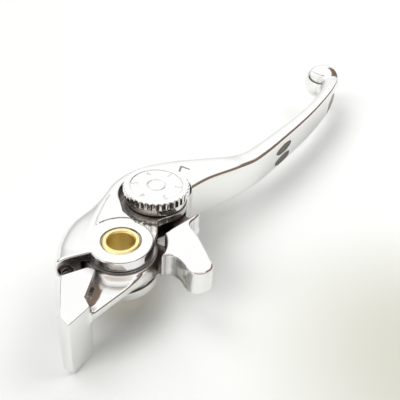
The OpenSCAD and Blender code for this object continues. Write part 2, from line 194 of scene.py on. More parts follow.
HEIGHT = Line([[-20, TOP], [SLOT_WALL_X + 3, TOP], [SLOT_WALL_X + 12, TOP], [56, TOP - 0.4],
               [GRIP_START - 4, GRIP_HALF], [GRIP_START + 0.75 * GRIP_L, GRIP_HALF],
               [REACH - 9, GRIP_HALF - 0.4], [REACH - 2, GRIP_HALF - 0.9]])
DROP = Line([[-20, TOP], [SLOT_WALL_X + 4.5, TOP], [SLOT_WALL_X + 6, TOP],
             [SLOT_WALL_X + 9, TOP + 0.9], [SLOT_WALL_X + 14, TOP + 1.1], [56, TOP - 0.3],
             [GRIP_START - 4, GRIP_HALF], [GRIP_START + 0.75 * GRIP_L, GRIP_HALF],
             [REACH - 9, GRIP_HALF - 0.4], [REACH - 2, GRIP_HALF - 0.9]])
FALL = Line([[-20, 2.6], [3, 2.4], [12, 1.2], [28, 0.8], [45, 0.3], [REACH, 0.1]])
NOSE = Line([[-20, WING_NOSE], [3, WING_NOSE], [28, WING_NOSE + 0.6], [45, 4.6],
             [GRIP_START, 0.62 * GRIP_HALF], [REACH, 0.62 * GRIP_HALF]])
REAR_EDGE = Line([[-20, 1.3], [30, 1.6], [60, 1.6], [100, 1.2], [150, 0.9], [REACH, 0.9]])
FRONT_EDGE_R, LEAST_FALL = 0.9, 0.25
CROWN_PULL, CROWN_REST = 0.55, 0.45


def forged(x, y, z):
    """The forged blade: a crowned front, flats above and below, and a flat rear face."""
    rear, front = REAR(x), FRONT(x)
    rear_r = REAR_EDGE(x)
    edge = np.minimum(np.maximum(EDGE(x), rear + rear_r + 0.8), front - 2)
    high = np.where(z >= 0, HEIGHT(x), DROP(x))
    fall, nose, level = np.maximum(FALL(x), LEAST_FALL), NOSE(x), np.abs(z)
    deep = front - edge
    # The crown is a cubic curve; t is the place on it at this level
    t = np.clip(level / high, 0, 1)
    for _ in range(7):
        u = 1 - t
        miss = 3 * t * u * u * nose + 3 * t * t * u * (high - fall) + t ** 3 * high - level
        rate = 3 * u * u * nose + 6 * t * u * (high - fall - nose) + 3 * t * t * fall
        t = np.clip(t - miss / np.maximum(rate, 0.05), 0, 1)
    u = 1 - t
    crown = u ** 3 * front + 3 * t * u * u * front + 3 * t * t * u * (edge + CROWN_PULL * deep) \
        + t ** 3 * edge
    dy = 6 * t * u * (-CROWN_REST * deep) + 3 * t * t * (-CROWN_PULL * deep)
    dz = 3 * u * u * nose + 6 * t * u * (high - fall - nose) + 3 * t * t * fall
    lean = dy / np.maximum(dz, 0.05)
    crown = crown + lean * np.maximum(level - high, 0)
    fore = (y - crown) / np.sqrt(1 + lean ** 2 + FRONT.slope(x) ** 2)
    flat = level - high
    aft = (rear - y) / np.sqrt(1 + REAR.slope(x) ** 2)
    return meet(meet(fore, flat, FRONT_EDGE_R), aft, rear_r)


NECK = [(EAR_R * math.cos(math.radians(-52)), EAR_R * math.sin(math.radians(-52))),
        (EAR_R + 1.4, -5.1), (DIAL[0] - 9, DIAL[1] - 7.2), (DIAL[0], DIAL[1] - 10.2),
        (DIAL[0], DIAL[1] + 10.2),
        (EAR_R * math.cos(math.radians(100)), EAR_R * math.sin(math.radians(100)))]
POCKET = [(9.3, 2.8), (10.8, 7.8), (DIAL[0] - 10, DIAL[1] + 6.6), (DIAL[0], DIAL[1]),
          (DIAL[0], -15.5), (6, -15.5)]
MOUTH = [(-24, -24), (11.6, -24), (11.6, 0), (0, 0), (0, 4), (-24, 4)]
SLOT = [(FORK_R - 3, -15), (SLOT_WALL_X, -15), (SLOT_WALL_X, DIAL[1] - 4),
        (FORK_R - 3, DIAL[1] - 4)]
POCKET_R, NECK_R, LOWER_NECK_EDGE = 12, 10.2, 0.5
CAM_ROOM_R, CAM_ROOM_HALF = 7.07, 2.5
STEM_HOLE_R, STEM_END_HOLE_R = 3.03, 2.53
CLIP_ROOM_R, CLIP_ROOM_TOP = 5.4, -5.55
WITNESS_HALF, WITNESS_END_X = 0.5, 15
BALL_NECK_X = REACH - 2
WING_END, WING_TURN = (-8.9, 3.9), math.radians(127)
SPRING_AT, BLOCK_AT = Vector((-13.3, 9.3, 0)), Vector((-16.6, 5.2, 0))
SPRING_GAP = (BLOCK_AT - SPRING_AT).length
SOCKET_DEEP, SPRING_R = 2.2, 1.8
OVAL_X, OVAL_ZS, OVAL_L, OVAL_R, OVAL_DEEP = GRIP_START + 18.6, (1.2, -3.7), 12.6, 1.9, 0.5


def socket(x, y, z, at):
    """Round socket for one end of the return spring."""
    way = (BLOCK_AT - SPRING_AT).normalized()
    along = (x - at.x) * way.x + (y - at.y) * way.y
    across = (x - at.x) * -way.y + (y - at.y) * way.x
    return meet(np.hypot(across, z) - SPRING_R - 0.3, np.abs(along) - SOCKET_DEEP)


def oval(x, y, z, mid_z):
    """Shallow oval recess in the rear face of the grip."""
    lean = math.atan(float(REAR.slope(OVAL_X)))
    rear = float(REAR(OVAL_X))
    along = (x - OVAL_X) * math.cos(lean) + (y - rear) * math.sin(lean)
    shape = (np.hypot(along / (OVAL_L / 2), (z - mid_z) / OVAL_R) - 1) * OVAL_R
    return meet(shape, np.abs(y - REAR(x)) - OVAL_DEEP, 0.15)


def blade(x, y, z):
    """The whole blade: the forging, its hub, its ball and everything cut into it."""
    body = meet(forged(x, y, z), x - BALL_NECK_X, 2.0)
    # End face of the wing
    end = -(x - WING_END[0]) * math.sin(WING_TURN) + (y - WING_END[1]) * math.cos(WING_TURN)
    body = meet(body, end, 0.8)
    # Pocket under the dial
    hollow = np.minimum(outline(POCKET, x, y), np.hypot(x - DIAL[0], y - DIAL[1]) - POCKET_R)
    body = cut(body, meet(hollow, SEAT_Z - z), 0.45)
    # Ears, with a fine line in the top flat where the crown starts
    body = join(body, disc(x, y, z, EAR_R, 0, TOP, 1.2))
    witness = np.abs(y - EDGE(x)) / np.sqrt(1 + EDGE.slope(x) ** 2)
    witness = witness + np.maximum(x - WITNESS_END_X, 0)
    body = cut(body, (witness - WITNESS_HALF + TOP - z) / math.sqrt(2), 0.1)
    body = join(body, disc(x, y, z, LOWER_EAR_R, -TOP, 0, 0.8))
    neck = np.minimum(outline(NECK, x, y), np.hypot(x - DIAL[0], y - DIAL[1]) - NECK_R)
    body = join(body, meet(neck, between(z, -TOP, SEAT_Z), LOWER_NECK_EDGE), 0.4)
    ball = np.sqrt((x - REACH) ** 2 + y * y + z * z) - BALL_R
    body = join(body, ball, 1.8)
    # Fork for the knocker, the bush's hole with a dark gap round it, and the spot face
    fork = np.minimum(np.hypot(x, y) - FORK_R, outline(MOUTH, x, y))
    body = cut(body, meet(fork, between(z, LOWER_EAR_Z, UPPER_EAR_Z), 0.3), 0.35)
    body = cut(body, disc(x, y, z, BUSH_R, -9, 9), 0.1)
    body = cut(body, disc(x, y, z, BUSH_R + 0.3, TOP - SPOT_DEEP - 0.5, TOP + 1), 0.08)
    body = cut(body, disc(x, y, z, SPOT_R, TOP - SPOT_DEEP, TOP + 3), 0.2)
    # Room for the cam, the dial's stem and its clip
    room = np.minimum(np.hypot(x - DIAL[0], y - DIAL[1]) - CAM_ROOM_R, outline(SLOT, x, y))
    body = cut(body, meet(room, np.abs(z) - CAM_ROOM_HALF), 0.3)
    body = cut(body, disc(x, y, z, STEM_HOLE_R, 2, 6, at=DIAL), 0.1)
    body = cut(body, disc(x, y, z, STEM_END_HOLE_R, -9, 0, at=DIAL), 0.1)
    body = cut(body, disc(x, y, z, CLIP_ROOM_R, -9, CLIP_ROOM_TOP, at=DIAL), 0.3)
    body = cut(body, socket(x, y, z, SPRING_AT), 0.2)
    for mid_z in OVAL_ZS:
        body = cut(body, oval(x, y, z, mid_z), 0.2)
    return body


# ---------------------------------------------------------------- knocker

BOSS_R, BOSS_LOW, BOSS_TOP = 10.4, -3.45, 2.95
SPUR_TIP, SPUR_TIP_R, SPUR_TOP = (5.6, -24.5), 2.8, 7.2
SPUR_FROM_R = 13.1
WEB_HALF, LEG_DROP, BLOCK_TOP = 1.5, 14.5, 4.5
WEB = [(-11.3, 2.6), (-9, -3), (0, 0), (9.5, -4), (11.2, -9), (17.9, -11), (12, -15.8), (3, -14),
       (2.3, -11.6), (-2.8, -10.3), (-9.9, -9.8), (-22, -8.1), (-20.4, -3), (-18.4, 3)]


def tip_point(angle):
    """Point on the round tip of the spur."""
    a = math.radians(angle)
    return (SPUR_TIP[0] + SPUR_TIP_R * math.cos(a), SPUR_TIP[1] + SPUR_TIP_R * math.sin(a))


def softened(points):
    """An outline with its corners cut three times, which leaves smooth bends."""
    longest = 2.2
    for _ in range(3):
        out = []
        for a, b in zip(points, points[1:] + points[:1]):
            span = math.dist(a, b)
            t = min(0.28, longest / span)
            out += [(a[0] + t * (b[0] - a[0]), a[1] + t * (b[1] - a[1])),
                    (b[0] + t * (a[0] - b[0]), b[1] + t * (a[1] - b[1]))]
        points, longest = out, longest / 3
    return points


SPUR = softened([(-1, -11), (8, -8), (12.4, -8.3), (15.4, -8.9), (20, -9.9),
                 (DIAL[0] - 0.3, -10.8), (DIAL[0] - 0.2, -12.1), (17.6, -11.5), (16.2, -15.4),
                 tip_point(-35), (5.2, -27.6), (1.6, -25.8), (0.9, -22.4), (3.6, -18.6),
                 (3.9, -14.6), (1.4, -12.9)])
NOSE_R, NOSE_Y = 2.2, DIAL[1] - 4.3 - 0.25 - 2.2
CAM_NOSE = [(DIAL[0] - NOSE_R, NOSE_Y), (DIAL[0] + NOSE_R, NOSE_Y), (DIAL[0] + NOSE_R, -7.5),
            (DIAL[0] - 0.4, -12), (12, -12), (DIAL[0] - 8, -9.6)]
FRONT_P, NOSE_P, INNER_P, NOTCH = (-18.2, 6), (-11.4, 2.5), (-10.8, -0.1), (-20.3, -4.5)
LEG_IN, LEG_END, LEG_FRONT = (-22.2, -7.8), (-29.8, -7.5), (-28.9, -3.6)


def level(z, *points):
    """Plan points at one height."""
    return [(p[0], p[1], z) for p in points]


def off(p, dx, dy):
    """A plan point moved by dx, dy."""
    return (p[0] + dx, p[1] + dy)


block_field = hull_field(
    level(BLOCK_TOP, FRONT_P, NOSE_P, INNER_P, NOTCH, LEG_FRONT)
    + level(-BLOCK_TOP, FRONT_P, NOSE_P, INNER_P, NOTCH, LEG_FRONT)
    + level(0, off(FRONT_P, 0.4, 3.4), NOSE_P, off(INNER_P, 1.2, -3.2), off(NOTCH, 3.0, -2.5),
            off(NOTCH, -0.2, -1.6), off(LEG_FRONT, 1.7, 3.2)))
leg_field = hull_field(
    level(BLOCK_TOP, off(NOTCH, 0.2, 0.8), NOTCH, LEG_IN, LEG_END, LEG_FRONT)
    + level(0, off(NOTCH, 0.2, 0.8), NOTCH, LEG_IN, off(LEG_END, -0.3, -0.1),
            off(LEG_FRONT, 1.7, 3.2))
    + level(1.4 - LEG_DROP, off(LEG_IN, 0.2, -0.1), off(LEG_END, -1, -0.5),
            off(LEG_END, -1.5, 2.3), off(LEG_IN, 0, 3.4))
    + level(-LEG_DROP, off(LEG_IN, -0.8, 0), off(LEG_END, -0.5, -0.4),
            off(LEG_END, -0.7, 1.3), off(LEG_IN, -0.8, 2)))
# Covers the seam between the block and the leg's head
SIDE_A, SIDE_B = (-24.6, 0.26), (-29.35, -5.55)
bridge_field = hull_field(
    level(BLOCK_TOP, SIDE_A, LEG_FRONT, SIDE_B, (-23.5, -6.0), (-20.9, -3.0), (-20.5, 0.5))
    + level(0, off(SIDE_A, 1.5, 3.2), off(LEG_FRONT, 1.7, 3.2), off(SIDE_B, 0.7, 1.5),
            (-23.5, -6.0), (-20.9, -3.0), (-20.5, 0.5)))


def knocker(x, y, z):
    """The knocker: web, boss, block with its leg, spur, and the nose that rests on the cam."""
    plan = np.minimum(outline(WEB, x, y), np.hypot(x, y) - BOSS_R)
    spur = np.minimum(outline(SPUR, x, y),
                      np.hypot(x - SPUR_TIP[0], y - SPUR_TIP[1]) - SPUR_TIP_R)
    spur = meet(spur, SPUR_FROM_R - np.hypot(x, y), 0.2)
    nose = np.minimum(outline(CAM_NOSE, x, y), np.hypot(x - DIAL[0], y - NOSE_Y) - NOSE_R)
    plan = np.minimum(np.minimum(plan, spur), nose)
    body = meet(plan, np.abs(z) - WEB_HALF, 0.8)
    body = join(body, disc(x, y, z, BOSS_R, BOSS_LOW, BOSS_TOP, 0.3), 2.6)
    lump = join(block_field(x, y, z, 0.5), leg_field(x, y, z, 0.35))
    lump = join(lump, bridge_field(x, y, z, 0.4))
    body = join(body, lump, 1.6)
    body = join(body, meet(spur, between(z, -WEB_HALF, SPUR_TOP), 1.0), 0.3)
    body = cut(body, disc(x, y, z, BUSH_R + 0.03, -9, 9), 0.2)
    body = cut(body, disc(x, y, z, LOWER_EAR_R + 0.6, -5, BOSS_LOW), 0.2)
    return cut(body, socket(x, y, z, BLOCK_AT), 0.2)


# ---------------------------------------------------------------- dial

SCALLOPS, SCALLOP_R, SCALLOP_OUT = 36, 0.7, 0.25
FACE_DEEP, FACE_INSET = 0.25, 2.3
GROOVE_AT, GROOVE_DROP, GROOVE_R = 2.9, 0.35, 0.22
STEM_R, STEM_END_R, STEM_STEP_Z, STEM_END_Z = 3.0, 2.5, -2.2, -6.9


def dial(x, y, z):
    """The dial: scalloped rim, sunk face with a fine ring, collar and stepped stem."""
    u, v = x - DIAL[0], y - DIAL[1]
    rho = np.hypot(u, v)
    pitch = 2 * math.pi / SCALLOPS
    turn = (np.arctan2(v, u) + pitch / 2) % pitch - pitch / 2
    rim = meet(rho - DIAL_R, between(z, RIM_Z, RIM_TOP), 0.5)
    scallop = np.hypot(rho * np.cos(turn) - DIAL_R - SCALLOP_OUT, rho * np.sin(turn)) - SCALLOP_R
    rim = cut(rim, scallop, 0.25)
    rim = cut(rim, meet(rho - DIAL_R + FACE_INSET, RIM_TOP - FACE_DEEP - z), 0.15)
    body = join(rim, disc(x, y, z, COLLAR_R, COLLAR_Z, RIM_Z + 0.5, 0.2, DIAL))
    ring = np.hypot(rho - GROOVE_AT, z - RIM_TOP + GROOVE_DROP) - GROOVE_R
    body = cut(body, ring, 0.15)
    body = join(body, disc(x, y, z, STEM_R, STEM_STEP_Z, COLLAR_Z + 0.5, at=DIAL))
    return join(body, disc(x, y, z, STEM_END_R, STEM_END_Z, 0, 0.3, DIAL))


# ---------------------------------------------------------------- meshing

def gradient(field, p, step=0.04):
    """Slope of a field at each point, from differences over two steps."""
    g = np.empty_like(p)
    for axis in range(3):
        d = np.zeros(3)
        d[axis] = step
        hi, lo = p + d, p - d
        g[:, axis] = (field(*hi.T) - field(*lo.T)) / (2 * step)
    return g


def settle(field, p, rounds):
    """Moves points onto the field's surface."""
    for _ in range(rounds):
        g = gradient(field, p)
        size = np.maximum((g * g).sum(1), 0.05)
        step = (field(*p.T) / size)[:, None] * g
        length = np.linalg.norm(step, axis=1, keepdims=True)
        p = p - step * np.minimum(1, 0.25 / np.maximum(length, 1e-9))
    return p


# A painted dark reflection in the rear face near the ball, as [x, z], and the softness of its
# border
REFLECTION_GROW, REFLECTION_SOFT = 0.6, 0.5
REFLECTION_STREAK = [(140.3, -5.2), (140.2, -0.2), (143.8, 2.2), (148.5, 1.2), (153.6, -1.8), (151.2, -3.6),
         (146.2, -4.4)]


def recess(p, n):
    """How shut in each surface point is: 0 in the open, 1 in a narrow gap.

    It looks out along the normal to four distances. The materials paint shade from this value, and
    the painted dark reflection near the ball counts as shut in."""
    total = np.zeros(len(p))
    for reach, share in ((0.8, 0.2), (2.2, 0.32), (5.0, 0.28), (10.0, 0.25)):
        q = (p + reach * n).T
        room = np.minimum(np.minimum(blade(*q), knocker(*q)), dial(*q))
        room = np.minimum(room, disc(*q, BUSH_R, -TOP, TOP - SPOT_DEEP)) / reach
        total += share * (1 - np.clip(room, 0, 1))
    # Painted dark reflection: this patch of the rear face is set to read as shut in
    reflection = outline(REFLECTION_STREAK, p[:, 0], p[:, 2]) + 9 * (np.abs(p[:, 1] - REAR(p[:, 0])) > 0.6)
    return np.maximum(total, np.clip(0.5 - (reflection - REFLECTION_GROW) / REFLECTION_SOFT, 0, 1))


def skin(name, field, low, high, cell, far_x=None, far_cell=None):
    """Closed quad mesh on the field's surface, with its points evened out and exact normals.

    Beyond far_x the grid is coarser along x only, where the shape is plain."""
    axes = [np.arange(a, b + cell, cell) for a, b in zip(low, high)]
    if far_x is not None:
        axes[0] = np.concatenate([np.arange(low[0], far_x, cell),
                                  np.arange(far_x, high[0] + far_cell, far_cell)])
    nx, ny, nz = map(len, axes)
    values = np.empty((nx, ny, nz), np.float32)
    gy, gz = np.meshgrid(axes[1], axes[2], indexing="ij")
    rows = 12
    for i in range(0, nx, rows):
        xs = axes[0][i:i + rows]
        gx = np.repeat(xs, ny * nz)
        values[i:i + rows] = field(gx, np.tile(gy.ravel(), len(xs)),
                                   np.tile(gz.ravel(), len(xs))).reshape(len(xs), ny, nz)
    inside = values < 0
    cells = [inside[i:nx - 1 + i, j:ny - 1 + j, k:nz - 1 + k]
             for i in (0, 1) for j in (0, 1) for k in (0, 1)]
    count = np.sum(cells, axis=0)
    mixed = (count > 0) & (count < 8)
    index = np.full(mixed.shape, -1, np.int64)
    index[mixed] = np.arange(mixed.sum())
    where = np.argwhere(mixed)
    total, hits = np.zeros((len(where), 3)), np.zeros(len(where))
    corner = np.array([(i, j, k) for i in (0, 1) for j in (0, 1) for k in (0, 1)])
    for a in range(8):
        for b in range(a + 1, 8):
            if np.abs(corner[a] - corner[b]).sum() != 1:
                continue
            va = values[tuple((where + corner[a]).T)]
            vb = values[tuple((where + corner[b]).T)]
            change = (va < 0) != (vb < 0)
            t = np.where(change, va / np.where(change, va - vb, 1), 0)[:, None]
            total += np.where(change[:, None], corner[a] + t * (corner[b] - corner[a]), 0)
            hits += change
    spot = where + total / hits[:, None]
    p = np.stack([np.interp(spot[:, k], np.arange(len(axes[k])), axes[k]) for k in range(3)], 1)
    faces = []
    for axis in range(3):
        one = np.zeros(3, int)
        one[axis] = 1
        shape = np.array(inside.shape) - one
        a = inside[:shape[0], :shape[1], :shape[2]]
        b = inside[one[0]:, one[1]:, one[2]:]
        for solid_first in (True, False):
            e = np.argwhere(a & ~b if solid_first else ~a & b)
            u, v = np.zeros(3, int), np.zeros(3, int)
            u[(axis + 1) % 3], v[(axis + 2) % 3] = 1, 1
            ring = [e - u - v, e - v, e, e - u]
            quad = np.stack([index[tuple(r.T)] for r in ring], 1)
            faces.append(quad if solid_first else quad[:, ::-1])
    faces = np.concatenate(faces)
    edges = np.concatenate([faces[:, [i, (i + 1) % 4]] for i in range(4)])
    degree = np.bincount(edges[:, 0], minlength=len(p)).astype(float)
    p = settle(field, p, 3)
    for _ in range(3):
        mean = np.stack([np.bincount(edges[:, 0], p[edges[:, 1], k], len(p)) for k in range(3)], 1)
        drift = mean / degree[:, None] - p
        n = gradient(field, p)
        n /= np.maximum(np.linalg.norm(n, axis=1, keepdims=True), 1e-9)
        p = settle(field, p + 0.5 * (drift - (drift * n).sum(1)[:, None] * n), 1)
    p = settle(field, p, 2)
    n = gradient(field, p, 0.08)
    n /= np.maximum(np.linalg.norm(n, axis=1, keepdims=True), 1e-9)
    mesh = bpy.data.meshes.new(name)
    mesh.from_pydata((p * MM).tolist(), [], faces.tolist())
    mesh.shade_smooth()
    mesh.normals_split_custom_set_from_vertices(n.tolist())
    # Each point's recess value, from which the materials paint shade
    mesh.attributes.new("recess", "FLOAT", "POINT").data.foreach_set("value", recess(p, n))
    obj = bpy.data.objects.new(name, mesh)
    bpy.context.scene.collection.objects.link(obj)
    return obj


def new_object(name, verts, faces, smooth=True):
    """An object from points in millimetres and faces."""
    mesh = bpy.data.meshes.new(name)
    mesh.from_pydata([tuple(c * MM for c in v) for v in verts], [], faces)
    mesh.update()
    if smooth:
        mesh.shade_smooth()
        mesh.set_sharp_from_angle(angle=0.55)
    obj = bpy.data.objects.new(name, mesh)
    bpy.context.scene.collection.objects.link(obj)
    return obj


def lathe(name, profile, steps=160):
    """Turned piece: the closed profile of [radius, z] points, swept round the z axis."""
    verts, faces, n = [], [], len(profile)
    for i in range(steps):
        a = 2 * math.pi * i / steps
        verts += [(r * math.cos(a), r * math.sin(a), z) for r, z in profile]
    for i in range(steps):
        j = (i + 1) % steps
        faces += [(i * n + k, j * n + k, j * n + (k + 1) % n, i * n + (k + 1) % n)
                  for k in range(n)]
    return new_object(name, verts, faces)


# ---------------------------------------------------------------- materials

def material(name, colour, rough, metal=1.0):
    """A Principled material and its shader node."""
    mat = bpy.data.materials.new(name)
    mat.use_nodes = True
    shader = mat.node_tree.nodes["Principled BSDF"]
    shader.inputs["Base Color"].default_value = (*colour, 1)
    shader.inputs["Roughness"].default_value = rough
    shader.inputs["Metallic"].default_value = metal
    return mat, shader


def node(mat, kind, **inputs):
    """A shader node with some of its inputs set."""
    made = mat.node_tree.nodes.new(kind)
    for key, value in inputs.items():
        made.inputs[key.replace("_", " ")].default_value = value
    return made


def wire(mat, a, out, b, into):
    mat.node_tree.links.new(a.outputs[out], b.inputs[into])


# Colour of the painted shade that darkens recesses and narrow gaps
RECESS_SHADE = (0.16, 0.13, 0.115)


def polished(name, colour, rough_low, rough_high, mark=0.004, shade_span=(0.2, 0.6)):
    """Mirror finish with faint polishing marks, smudges, a slow ripple, and painted shade in
    recesses, which are also made rougher.
    """
    mat, shader = material(name, colour, rough_low)
    shut_in = mat.node_tree.nodes.new("ShaderNodeAttribute")
    shut_in.attribute_name = "recess"
    share = node(mat, "ShaderNodeMapRange", From_Min=shade_span[0], From_Max=shade_span[1], To_Max=0.93)
    # Painted shade: the base colour is mixed towards the shade colour where the recess value is
    # high
    shaded_colour = mat.node_tree.nodes.new("ShaderNodeMix")
    shaded_colour.data_type = "RGBA"
    shaded_colour.inputs[6].default_value = (*colour, 1)
    shaded_colour.inputs[7].default_value = (*RECESS_SHADE, 1)
    wire(mat, shut_in, "Fac", share, "Value")
    mat.node_tree.links.new(share.outputs["Result"], shaded_colour.inputs[0])
    mat.node_tree.links.new(shaded_colour.outputs[2], shader.inputs["Base Color"])
    where = mat.node_tree.nodes.new("ShaderNodeTexCoord")
    smudge = node(mat, "ShaderNodeTexNoise", Scale=90.0, Detail=4.0, Roughness=0.6)
    spread = node(mat, "ShaderNodeMapRange", From_Min=0.35, From_Max=0.75, To_Min=rough_low,
                  To_Max=rough_high)
    wire(mat, where, "Object", smudge, "Vector")
    wire(mat, smudge, "Fac", spread, "Value")
    dulled = mat.node_tree.nodes.new("ShaderNodeMath")
    dulled.operation = "MULTIPLY_ADD"
    dulled.inputs[1].default_value = 0.3
    wire(mat, share, "Result", dulled, 0)
    wire(mat, spread, "Result", dulled, 2)
    wire(mat, dulled, "Value", shader, "Roughness")
    fine = node(mat, "ShaderNodeTexNoise", Scale=1600.0, Detail=3.0, Roughness=0.6)
    stretch = node(mat, "ShaderNodeMapping", Scale=(0.15, 1.0, 1.0))
    wire(mat, where, "Object", stretch, "Vector")
    wire(mat, stretch, "Vector", fine, "Vector")
    ripple = node(mat, "ShaderNodeTexNoise", Scale=140.0, Detail=2.0)
    wire(mat, where, "Object", ripple, "Vector")
    slow = node(mat, "ShaderNodeBump", Strength=0.25, Distance=0.00006)
    wire(mat, ripple, "Fac", slow, "Height")
    bump = node(mat, "ShaderNodeBump", Strength=0.2, Distance=mark * MM)
    wire(mat, fine, "Fac", bump, "Height")
    wire(mat, slow, "Normal", bump, "Normal")
    wire(mat, bump, "Normal", shader, "Normal")
    return mat


CHROME = polished("chrome_polished", (0.90, 0.90, 0.885), 0.03, 0.12)
KNOCKER_CHROME = polished("chrome_knocker", (0.88, 0.88, 0.87), 0.04, 0.15,
                          shade_span=(0.04, 0.3))
DIAL_CHROME = polished("chrome_dial", (0.90, 0.90, 0.89), 0.05, 0.14, shade_span=(0.45, 1.05))
STEEL = polished("steel_ground", (0.45, 0.45, 0.46), 0.22, 0.38, 0.02)
SPRING_STEEL = polished("steel_spring", (0.16, 0.135, 0.12), 0.35, 0.5, 0.02)

BRASS, brass_shader = material("brass_turned", (1.0, 0.86, 0.52), 0.33)
where = BRASS.node_tree.nodes.new("ShaderNodeTexCoord")
rings = node(BRASS, "ShaderNodeMapping", Scale=(1.0, 1.0, 9.0))
grain = node(BRASS, "ShaderNodeTexNoise", Scale=700.0, Detail=4.0, Roughness=0.7)
tint = node(BRASS, "ShaderNodeValToRGB")
tint.color_ramp.elements[0].color = (1.0, 0.74, 0.28, 1)
tint.color_ramp.elements[0].position = 0.3
tint.color_ramp.elements[1].color = (1.0, 0.88, 0.50, 1)
tint.color_ramp.elements[1].position = 0.62
turned = node(BRASS, "ShaderNodeBump", Strength=0.35, Distance=0.00003)
wire(BRASS, where, "Object", rings, "Vector")
wire(BRASS, rings, "Vector", grain, "Vector")
wire(BRASS, grain, "Fac", tint, "Fac")
wire(BRASS, tint, "Color", brass_shader, "Base Color")
wire(BRASS, grain, "Fac", turned, "Height")
wire(BRASS, turned, "Normal", brass_shader, "Normal")


def painted(name, dark, light, rough):
    """Matt fill in an engraved mark, a little uneven."""
    mat, shader = material(name, dark, rough, 0.0)
    where = mat.node_tree.nodes.new("ShaderNodeTexCoord")
    noise = node(mat, "ShaderNodeTexNoise", Scale=900.0, Detail=3.0)
    ramp = node(mat, "ShaderNodeValToRGB")
    ramp.color_ramp.elements[0].color = (*dark, 1)
    ramp.color_ramp.elements[1].color = (*light, 1)
    bump = node(mat, "ShaderNodeBump", Strength=0.3, Distance=0.00003)
    wire(mat, where, "Object", noise, "Vector")
    wire(mat, noise, "Fac", ramp, "Fac")
    wire(mat, ramp, "Color", shader, "Base Color")
    wire(mat, noise, "Fac", bump, "Height")
    wire(mat, bump, "Normal", shader, "Normal")
    return mat


# Dark fill put in the two oval recesses
OVAL_DARK_FILL = painted("oval_dark_fill", (0.10, 0.075, 0.06), (0.16, 0.13, 0.11), 0.45)
MARK_PAINT = painted("mark_paint", (0.20, 0.17, 0.14), (0.30, 0.27, 0.23), 0.5)
FAINT_PAINT = painted("numeral_paint", (0.56, 0.55, 0.54), (0.68, 0.67, 0.66), 0.5)


def finish_with(obj, mat, body, nodes=()):
    """Gives a piece its material and body, and hides the CAD nodes that it replaces."""
    obj.data.materials.clear()
    obj.data.materials.append(mat)
    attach(obj, body)
    if nodes:
        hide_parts(*nodes)
    return obj


# ---------------------------------------------------------------- pieces

FINE, COARSE, PLAIN_FROM_X = 0.34, 0.8, 50
finish_with(skin("blade_forged", blade, (-20, -16.5, -9.6), (172, 24.5, 9.6), FINE,
                 PLAIN_FROM_X, COARSE),
            CHROME, "lever", ["lever_blade"])
finish_with(skin("knocker_forged", knocker, (-33, -29, -15.5), (28.5, 13, 8.2), 0.3),
            KNOCKER_CHROME, "knocker", ["knocker"])
finish_with(skin("dial_wheel", dial, (13, -6.3, -7.6), (36, 16.7, 11.4), 0.22),
            DIAL_CHROME, "dial", ["adjuster_dial"])

BUSH_TOP, CHAMFER, OUTER_CHAMFER = TOP - SPOT_DEEP, 0.45, 0.4
bush = lathe("bush_turned", [
    (BORE_R, -TOP + CHAMFER), (BORE_R + CHAMFER, -TOP), (BUSH_R - 0.1, -TOP), (BUSH_R, -TOP + 0.1),
    (BUSH_R, BUSH_TOP - OUTER_CHAMFER), (BUSH_R - OUTER_CHAMFER, BUSH_TOP),
    (BORE_R + CHAMFER, BUSH_TOP),
    (BORE_R + CHAMFER - 0.12, BUSH_TOP - 0.04), (BORE_R + 0.12, BUSH_TOP - CHAMFER + 0.04),
    (BORE_R, BUSH_TOP - CHAMFER - 0.12)])
finish_with(bush, BRASS, "lever", ["pivot_bush"])


def spring_mesh(name, outer, wire_r, turns, length, steps=40, sides=12):
    """Coil of round wire along z with closed ends, as a mesh tube."""
    verts, faces, r = [], [], outer - wire_r
    n = int(turns * steps)
    for i in range(n + 1):
        a = 2 * math.pi * i / steps
        t = i / n
        zc = wire_r + (length - 2 * wire_r) * t
        for k in range(sides):
            b = 2 * math.pi * k / sides
            rr = r + wire_r * math.cos(b)
            verts.append((rr * math.cos(a), rr * math.sin(a), zc + wire_r * math.sin(b)))
    for i in range(n):
        for k in range(sides):
            m = (k + 1) % sides
            faces.append((i * sides + k, (i + 1) * sides + k, (i + 1) * sides + m, i * sides + m))
    faces.append(tuple(range(sides)))
    faces.append(tuple(n * sides + k for k in reversed(range(sides))))
    return new_object(name, verts, faces)


# The coil is a little slimmer than its socket, as its end moves sideways when the knocker turns
COIL_SLACK, WIRE_R, TURNS = 0.3, 0.28, 6
spring = spring_mesh("spring_return", SPRING_R - COIL_SLACK, WIRE_R, TURNS,
                     SPRING_GAP + 2 * SOCKET_DEEP)
way = (BLOCK_AT - SPRING_AT).normalized()
side = Vector((-way.y, way.x, 0))
start = SPRING_AT - way * SOCKET_DEEP
spring.data.transform(Matrix(((side.x, 0, way.x, start.x * MM), (side.y, 0, way.y, start.y * MM),
                              (0, 1, 0, 0), (0, 0, 0, 1))))
spring.data.flip_normals()
finish_with(spring, SPRING_STEEL, "lever", ["knocker_spring"])
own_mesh(spring)


def inlay(name, points, place, thick, mat, body):
    """Thin filled mark: an outline put onto the surface by place(x, y, lift)."""
    n = len(points)
    verts = [place(x, y, 0) for x, y in points] + [place(x, y, thick) for x, y in points]
    faces = [tuple(range(n))[::-1], tuple(range(n, 2 * n))]
    faces += [(i, (i + 1) % n, n + (i + 1) % n, n + i) for i in range(n)]
    return finish_with(new_object(name, verts, faces, smooth=False), mat, body)


# The index mark on the blade: two strokes that meet at the corner nearest the front
CORNER, ARM_DIAL, ARM_OUT = (42.3, 7.4), (39.1, 6.0), (42.4, 4.0)
MARK_SUNK, MARK_THICK = 0.04, 0.07


